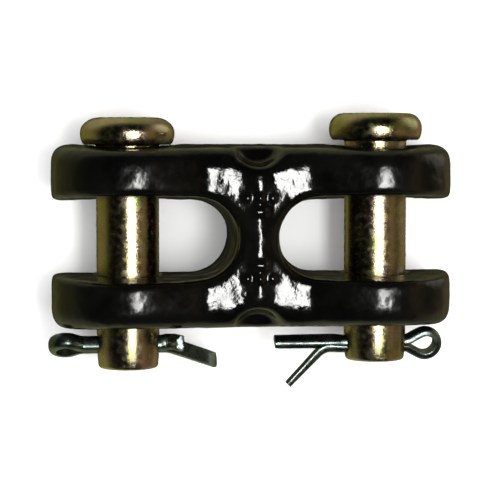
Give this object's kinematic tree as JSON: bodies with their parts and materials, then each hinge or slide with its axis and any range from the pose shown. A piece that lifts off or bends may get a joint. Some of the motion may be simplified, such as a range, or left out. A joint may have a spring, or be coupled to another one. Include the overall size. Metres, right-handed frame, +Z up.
{
  "type": "twin clevis link",
  "caption": "Forged H-shaped twin clevis link with a headed pin across each clevis and a split cotter through each pin, for joining a trailer safety chain to a hook or eye.",
  "frame": {"origin": "middle of the overall box in X and Y, on the flat surface that the round rims of the ears rest on", "axes": "+X along the link towards the right clevis, +Y along the pins towards their heads, +Z up, square to the link's flat side"},
  "size_m": [0.0828, 0.0564, 0.031],
  "materials": {
    "black_paint": "thick gloss black paint over a forged surface",
    "yellow_zinc": "turned steel with iridescent yellow zinc plating",
    "clear_zinc": "drawn half-round wire with dull clear zinc plating"
  },
  "bodies": {
    "link_body": {"link_body": "black_paint"},
    "left_clevis_pin": {"left_clevis_pin": "yellow_zinc"},
    "right_clevis_pin": {"right_clevis_pin": "yellow_zinc"},
    "left_cotter_pin": {"left_cotter_pin": "clear_zinc"},
    "right_cotter_pin": {"right_cotter_pin": "clear_zinc"}
  },
  "joints": [
    {"name": "left_pin_spin", "type": "hinge", "parent": "link_body", "child": "left_clevis_pin", "pos_m": [-0.0255, 0.0032, 0.0155], "axis": [0, 1, 0], "continuous": true},
    {"name": "left_cotter_turn", "type": "hinge", "parent": "left_clevis_pin", "child": "left_cotter_pin", "pos_m": [-0.0255, -0.01885, 0.0155], "axis": [1, 0, 0], "range_deg": [-6, 43]},
    {"name": "right_pin_spin", "type": "hinge", "parent": "link_body", "child": "right_clevis_pin", "pos_m": [0.0255, 0.0032, 0.0155], "axis": [0, 1, 0], "continuous": true},
    {"name": "right_cotter_turn", "type": "hinge", "parent": "right_clevis_pin", "child": "right_cotter_pin", "pos_m": [0.0255, -0.0194, 0.0155], "axis": [1, 0, 0], "range_deg": [-108, 105]}
  ]
}
